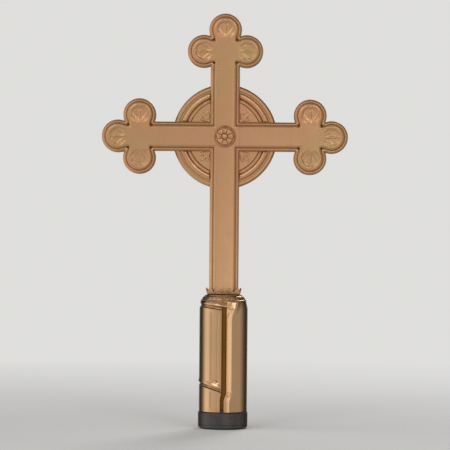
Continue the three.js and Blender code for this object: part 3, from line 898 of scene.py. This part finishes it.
def half_shell(side, rows, radius_at):
    """A half tube. rows holds (height at the side, dip at the front, front edge or None), and
    radius_at gives the radius at a row, an angle from the front, and a height."""
    rings = []
    for share in AROUND:
        outer, inner = [], []
        level = 0
        for index, (height, dip, edge) in enumerate(rows):
            if edge is None:
                edge = side * front_edge(side, height - dip)
            start = math.asin(edge / LEFT_RADIUS)
            angle = start + share * (math.pi - start)
            fall = dip * (1 - math.sin(angle)) if angle < math.pi / 2 else 0
            highest = SHELL_TOP - ROW_STEP * (len(rows) - 1 - index)
            level = max(min(height - fall, highest), level + ROW_STEP / 2)
            lean = LEAN * max(0, level - SHOULDER) / (SHELL_TOP - SHOULDER)
            radius = radius_at(index, angle, height) - lean
            for ring, reach in ((outer, radius), (inner, SHELL_INNER)):
                start = math.asin(edge / reach)
                end = math.pi - math.asin(REAR_SEAM / reach)
                angle = start + share * (end - start)
                ring.append((side * reach * math.sin(angle), -reach * math.cos(angle), level))
        rings.append(outer + inner[::-1])
    return skin(rings, "paired")


# The left shell's rail and the cove beneath it, as (height above the rail's middle, rise).
RAIL_PROFILE = [
    (-7.2, 0), (-6.9, -0.7), (-6.5, -1.8), (-6.0, -2.3), (-4.6, -2.4), (-3.4, -2.0), (-2.8, -0.9),
    (-2.5, 0.2), (-2.3, 0.9), (-1.8, 1.4), (-1.0, 1.6), (0.0, 1.45), (1.0, 1.1), (2.0, 0.7),
    (2.8, 0.3), (3.6, 0),
]


def left_rows():
    """Rows of the left shell from bottom to top: (side height, dip, front edge, rise)."""
    low, high = left_low[2], left_high[2]
    ease = 0.4
    rail_high = RAIL_PROFILE[-1][0]
    rows = [(low, 0, None, -ease), (low + ease, 0, None, 0)]
    for height in np.arange(low + 2, LOWER_RAIL - 9, 2):
        rows.append((height, LOWER_DIP * (height - low) / (LOWER_RAIL - low), None, 0))
    rows += [(LOWER_RAIL + up, LOWER_DIP, None, rise) for up, rise in RAIL_PROFILE]
    start, end = LOWER_RAIL + rail_high + 0.6, UPPER_RAIL + RAIL_PROFILE[0][0] - ease
    for share in np.linspace(0, 1, 60):
        dip = LOWER_DIP + (UPPER_DIP - LOWER_DIP) * share
        rows.append((start + (end - start) * share, dip, None, 0))
    for up, rise in RAIL_PROFILE:
        if up == -RAIL_HALF:
            rows.append((UPPER_RAIL + up - ROW_STEP, UPPER_DIP, None, rise))
        bridged = -BRIDGE_EDGE if up >= -RAIL_HALF else None
        rows.append((UPPER_RAIL + up, UPPER_DIP, bridged, rise))
    rows.append((UPPER_RAIL + rail_high + ROW_STEP, UPPER_DIP, None, 0))
    rows += [(high - 0.1, 1.2, None, 0), (high, 0.6, None, -0.2)]
    return rows


PANEL_LOW, PANEL_HIGH = LOWER_RAIL + 4, UPPER_RAIL - 10  # the panel between the rails
FOOT_PANEL_LOW, FOOT_PANEL_HIGH = 29, PANEL_LOW - 13  # the panel below the lower rail
PANEL_SIDE = 16.8, 20.2  # across, from the seam's middle: where a panel steps up to its stile
PANEL_DEPTH, FLUTE_DEPTH, PIT_DEPTH = 0.8, 0.25, 1.5
FLUTE_ASIDE = 8.5
PIT_ASIDE, PIT_HEIGHT = 8.8, PANEL_LOW + 3.4


def panel_relief(aside, height):
    """The left shell's panels: a step down from the stile, and a shallow flute that ends in a pit."""
    tall = smoothstep(PANEL_LOW, PANEL_LOW + 4, height)
    tall *= 1 - smoothstep(PANEL_HIGH - 5, PANEL_HIGH, height)
    short = smoothstep(FOOT_PANEL_LOW, FOOT_PANEL_LOW + 3, height)
    short *= 1 - smoothstep(FOOT_PANEL_HIGH - 3, FOOT_PANEL_HIGH, height)
    step = PANEL_DEPTH * (1 - smoothstep(*PANEL_SIDE, aside)) * smoothstep(1.0, 14.0, aside)
    flute = FLUTE_DEPTH * bell(aside - FLUTE_ASIDE, 1.6)
    pit = PIT_DEPTH * bell(aside - PIT_ASIDE, 3.2) * bell(height - PIT_HEIGHT, 1.7)
    return -float((step + flute) * (tall + short) + pit)


RAIL_FADE = 27, 35  # across: the rails sink to half their rise here, and run on so round the back


def make_left_shell():
    rows = left_rows()

    def radius_at(index, angle, height):
        rise = rows[index][3]
        aside = LEFT_RADIUS * math.sin(angle)
        if angle > math.pi / 2:
            return LEFT_RADIUS + 0.5 * rise
        rise *= 1 - 0.5 * float(smoothstep(*RAIL_FADE, aside))
        return LEFT_RADIUS + rise + panel_relief(aside, height)

    shape = half_shell(-1, [row[:3] for row in rows], radius_at)
    piece("left_shell_moulded", shape, "left_shell", 40)


# The middle of the right shell's turned lip, as (x, height, rounding): up the seam with its jog,
# then out like a lapel under the cap.
LIP_COURSE = [
    (5.4, 15, 0), (5.4, 41, 6), (8.9, 53, 6),
    (8.9, 163, 9), (13.6, 174, 6), (19.0, 190, 0),
]
LIP_MIDDLE = line(rounded(LIP_COURSE, 6), 400)
LIP_WAY = np.gradient(LIP_MIDDLE, axis=0)
LAPEL_HEIGHTS = 164, 176  # the lip turns into the lapel between these
LIP_RISE, LAPEL_MORE = 1.2, 0.6
LIP_FACE, LAPEL_FACE = (-4.2, 3.8), (-4.6, 3.4)  # across from the middle: the climb from the seam
LIP_BACK = 9.5  # where the lip has sunk back to the plain shell
SEAM_EDGE, SEAM_EDGE_DEPTH = (-4.8, -3.2), 0.7  # the shell's edge is eased off into the seam
KNOB_X, KNOB_HEIGHT = 8.4, 52
KNOB_RADII = 1.9, 2.9  # of its flat top and of its foot


def lip_rise(x, height):
    """How far the lip stands out: its face climbs away from the seam, then eases off."""
    away = np.array([x, height]) - LIP_MIDDLE
    nearest = np.argmin((away**2).sum(1))
    way = LIP_WAY[nearest]
    right = away[nearest] @ np.array([way[1], -way[0]]) / np.linalg.norm(way)
    lapel = smoothstep(*LAPEL_HEIGHTS, height)
    climb = (1 - lapel) * np.interp(right, LIP_FACE, (0, 1)) + lapel * smoothstep(*LAPEL_FACE, right)
    face = (LIP_RISE + LAPEL_MORE * lapel) * climb
    back = 1 - smoothstep(3 - lapel, LIP_BACK, right)
    edge = SEAM_EDGE_DEPTH * (1 - lapel) * (1 - smoothstep(*SEAM_EDGE, right))
    from_knob = math.hypot(x - KNOB_X, 0.8 * (height - KNOB_HEIGHT))
    knob = 0.35 * (1 - smoothstep(*KNOB_RADII, from_knob))
    return float(face * back - edge + knob)


def make_right_shell():
    low, high = right_low[2], right_high[2]
    ease = 0.4
    plain = [low + ease, *np.linspace(low + 1.5, high - 1.5, 130), high - ease]
    rows = [(height, 0, None) for height in (low, *plain, high)]

    def radius_at(index, angle, height):
        radius = RIGHT_RADIUS - (ease if index in (0, len(rows) - 1) else 0)
        if angle > math.pi / 2:
            return radius
        return radius + lip_rise(RIGHT_RADIUS * math.sin(angle), height)

    piece("right_shell_rolled", half_shell(1, rows, radius_at), "right_shell", 40)


CAP_RIM = 33.8
CAP_LEAVES = 20
RECESS_PLAY = 0.4  # between the upright's foot and its recess in the cap


def make_cap():
    """The cap: leaf relief on its shoulder, and a recess that keys the upright's foot."""
    count = 240
    low, high = cap_low[2], cap_high[2]
    seat = right_high[2] + GAP
    spigot = SHELL_INNER - GAP
    bead_top = seat + 1.9
    profile = rounded(
        [
            (spigot - 0.4, low), (spigot, low + 0.4, 0), (spigot, seat, 0),
            (CAP_RIM - 0.4, seat, 0.3), (CAP_RIM, seat + 0.4, 0.3), (CAP_RIM, seat + 1.1, 0.4),
            (CAP_RIM - 0.8, seat + 1.7, 0.3), (CAP_RIM - 1.3, bead_top, 0.2),
            (CAP_RIM - 2.2, seat + 3.6, 1.2), (CAP_RIM - 4.2, seat + 6.4, 1.2),
            (CAP_RIM - 6.1, high - 1.1, 0.8), (CAP_RIM - 6.5, high - 0.3, 0.3),
            (CAP_RIM - 7.2, high, 0.3),
        ],
        steps=3,
    )
    angle = full_turn(count)
    wave = np.abs(np.sin(angle * CAP_LEAVES / 2))
    relief = 0.8 * wave**0.7 - 0.5 - 0.2 * bell(wave - 1, 0.06)
    rings = []
    for radius, height in profile:
        on_shoulder = smoothstep(bead_top, seat + 3.2, height)
        on_shoulder *= 1 - smoothstep(high - 2.4, high - 1.1, height)
        rings.append(circle(radius + on_shoulder * relief, height, count))
    half = np.array([BEAM_HALF, BACK]) + RECESS_PLAY
    floor = STEM_FOOT - GAP
    bore = liner_high[0] + GAP

    def oblong(grow, height):
        """A rectangle of the same point count as the circles, by direction."""
        reach = half + grow
        size = np.minimum(
            reach[0] / np.maximum(np.abs(np.cos(angle)), 1e-6),
            reach[1] / np.maximum(np.abs(np.sin(angle)), 1e-6),
        )
        return circle(size, height, count)

    rings += [oblong(0.4, high), oblong(0, high - 0.4), oblong(0, floor)]
    rings += [circle(bore, floor, count), circle(bore, low, count)]
    piece("column_cap", skin(rings, ends="joined"), "cap", 40)


def make_leaf_collar():
    """A coronet of pointed leaves on a rectangular band."""
    low, high = collar_low[2], collar_high[2]
    inner = np.array([BEAM_HALF, BACK]) + 0.8
    wall = collar_high[0] - inner[0]
    per_leaf = 24  # points along each leaf's foot
    turns = np.array([(-1, -1), (1, -1), (1, 1), (-1, 1)], float)
    plan, phase = [], []
    for start, end, leaves in zip(turns, np.roll(turns, -1, axis=0), (5, 3, 5, 3)):
        share = np.linspace(0, 1, leaves * per_leaf, endpoint=False)
        plan.append(start + np.outer(share, end - start))
        phase.append((share * leaves) % 1)
    plan, phase = np.concatenate(plan), np.concatenate(phase)
    swell = np.sin(math.pi * phase)
    rib = bell(phase - 0.5, 0.06)
    tip = 0.42 + 0.58 * swell**1.4
    tall = high - low
    rings = []

    def add_ring(grow, height):
        """Grows the plan's unit rectangle from the inner faces, by a width at each point."""
        grow = np.broadcast_to(grow, len(plan))[:, None]
        rings.append(np.column_stack([plan * (inner + grow), np.broadcast_to(height, len(plan))]))

    add_ring(0.35 * wall, low)
    for t in (0.04, 0.08, 0.12, 0.16, 0.2, *np.linspace(0.24, 1, 12)):
        band = 0.9 * bell(t - 0.14, 0.07)
        leafy = float(smoothstep(0.2, 0.3, t))
        curl = float(smoothstep(0.25, 1.0, t)) * 1.2 * swell**0.8
        grow = 0.4 * wall + band + curl + leafy * (0.7 * swell + 0.35 * rib)
        add_ring(grow, low + tall * t * np.where(t > 0.2, tip, 1))
    add_ring(0.2 * wall + swell, low + tall * tip - 0.3)
    add_ring(0, low + 0.4 * tall)
    add_ring(0, low)
    piece("leaf_coronet", skin(rings, ends="joined"), "leaf_collar", 45)


def make_foot():
    radius = foot_high[0]
    low, high = foot_low[2], foot_high[2]
    top = left_low[2] - GAP
    spigot = SHELL_INNER - GAP
    profile = rounded(
        [
            (0.5, low), (radius - 0.8, low, 0.4), (radius, low + 0.8, 0.6),
            (radius, low + 3.4, 0.3), (radius - 0.5, low + 3.9, 0.2), (radius, low + 4.4, 0.3),
            (radius, top - 1.2, 1.0), (radius - 1.4, top, 0.5), (spigot, top, 0),
            (spigot, high - 0.5, 0), (spigot - 0.5, high, 0), (0.5, high),
        ]
    )
    piece("turned_foot", turned(profile, 192), "foot")


def make_felt_pad():
    radius = pad_high[0]
    top = pad_high[2]
    profile = rounded([(0.5, 0), (radius, 0, 0.3), (radius, top, 0.5), (0.5, top)])
    piece("felt_disc", turned(profile, 128), "felt_pad")


def paint_frame_nodes():
    """Materials for the CAD nodes that no piece stands for."""
    for name, slot in SLOTS.items():
        node = frame["nodes"][name]
        if not node.hide_render:
            node.data.materials.clear()
            node.data.materials.append(MATERIALS[slot])


# ---- Studio ----
BACKDROP = (0.74, 0.735, 0.72)
FLOOR_RADIUS = 14  # metres
FLOOR_FADE = 0.35, 1.6  # metres from the middle, between which the floor turns into the backdrop


def make_floor():
    """A pale floor that runs out into the backdrop's colour."""
    work = bmesh.new()
    bmesh.ops.create_circle(work, cap_ends=True, radius=FLOOR_RADIUS, segments=96)
    mesh = bpy.data.meshes.new("floor")
    work.to_mesh(mesh)
    work.free()
    floor = add_object("floor", mesh)
    n = Nodes("floor")
    length = n.add("ShaderNodeVectorMath", n.place, operation="LENGTH")
    fade = n.level(length.outputs["Value"], *FLOOR_FADE)
    paper = n.mix(n.level(n.noise(300), 0.3, 0.7), (0.73, 0.725, 0.71), (0.76, 0.755, 0.74))
    n.finish(paper, 0.9, 0.0)
    glow = n.add("ShaderNodeEmission", (*BACKDROP, 1))
    seen = n.math("MULTIPLY", fade, n.add("ShaderNodeLightPath").outputs["Is Camera Ray"])
    blend = n.add("ShaderNodeMixShader", seen, n.shader.outputs[0], glow.outputs[0])
    n.feed(n.output.inputs["Surface"], blend.outputs[0])
    mesh.materials.append(n.material)
    floor.visible_glossy = False


# The room's brightness by direction round the object: degrees from the front, right positive.
ROOM_LIGHT = [
    (-180, 0.5), (-160, 0.4), (-145, 0.03), (-125, 0.06), (-112, 0.3), (-101, 1.0), (-88, 1.6),
    (-74, 1.35), (-60, 1.02), (-44, 0.95), (-28, 0.79), (-8, 0.73), (30, 0.75), (60, 0.65),
    (85, 0.72), (98, 0.5), (108, 0.25), (122, 0.08), (145, 0.03), (160, 0.4), (180, 0.5),
]


def make_world():
    """The camera sees an even backdrop. The object sees a soft room, brightest to the left."""
    world = bpy.data.worlds.new("studio")
    bpy.context.scene.world = world
    world.use_nodes = True
    n = Tree(world.node_tree)
    direction = n.add("ShaderNodeTexCoord").outputs["Generated"]
    x, y, z = n.add("ShaderNodeSeparateXYZ", direction).outputs
    azimuth = n.math("ARCTAN2", x, n.math("MULTIPLY", y, -1.0))
    turn = n.level(azimuth, -math.pi, math.pi)
    # A ramp's colours stop at 1, so it holds half the light, and the factor by height doubles it.
    half_light = n.ramp(turn, [(at / 360 + 0.5, [light / 2] * 3) for at, light in ROOM_LIGHT])
    strength = n.math("MULTIPLY", half_light, n.level(z, 0.1, 0.9, 1.9, 1.1))
    room = n.add("ShaderNodeBackground", (1, 1, 1, 1), strength)
    backdrop = n.add("ShaderNodeBackground", (*BACKDROP, 1), 1.0)
    seen = n.add("ShaderNodeLightPath").outputs["Is Camera Ray"]
    blend = n.add("ShaderNodeMixShader", seen, room.outputs[0], backdrop.outputs[0])
    n.add("ShaderNodeOutputWorld", blend.outputs[0])


# Round lamps, as (place, what they face, width), in metres, and power in watts.
LAMPS = {
    "key": ((-1.15, -2.05, 1.9), (0, 0, 0.33), 1.4, 11.5),
    "high": ((0.95, -1.8, 1.65), (0, 0, 0.2), 0.9, 7),
    "front": ((0.58, -2.33, 0.1), (0, 0, 0.12), 1.1, 3.1),
    "back": ((0.6, 1.6, 1.6), (0, 0, 0.3), 0.9, 14),
}


def make_light(name, place, target, size, power):
    data = bpy.data.lights.new(name, "AREA")
    data.shape = "DISK"
    data.size = size
    data.energy = power
    light = add_object(name, data)
    light.location = place
    light.rotation_euler = (Vector(target) - Vector(place)).to_track_quat("-Z", "Y").to_euler()
    light.visible_camera = False


CAMERA_PLACE = 0.0012, -3.2, 0.299
CAMERA_ROLL = -0.45  # degrees
HEIGHT_SHARE = 0.92  # of the picture's height that the object fills


def make_camera():
    """Straight on, about level with the object's middle, and rolled by a trace."""
    height = cad_box[1][2] - cad_box[0][2]
    data = bpy.data.cameras.new("camera")
    data.lens = data.sensor_width * -CAMERA_PLACE[1] * HEIGHT_SHARE / height
    camera = add_object("camera", data)
    camera.location = CAMERA_PLACE
    camera.rotation_euler = (math.pi / 2, math.radians(CAMERA_ROLL), 0)
    bpy.context.scene.camera = camera


make_upright()
make_crossbar()
make_trefoil_ends()
make_nimbus()
make_rosette()
make_acorn_nut()
make_washer()
make_tang()
make_left_shell()
make_right_shell()
make_cap()
make_leaf_collar()
make_foot()
make_felt_pad()
paint_frame_nodes()
make_floor()
make_world()
for lamp, settings in LAMPS.items():
    make_light(lamp, *settings)
make_camera()
bpy.context.scene.view_settings.view_transform = "Standard"
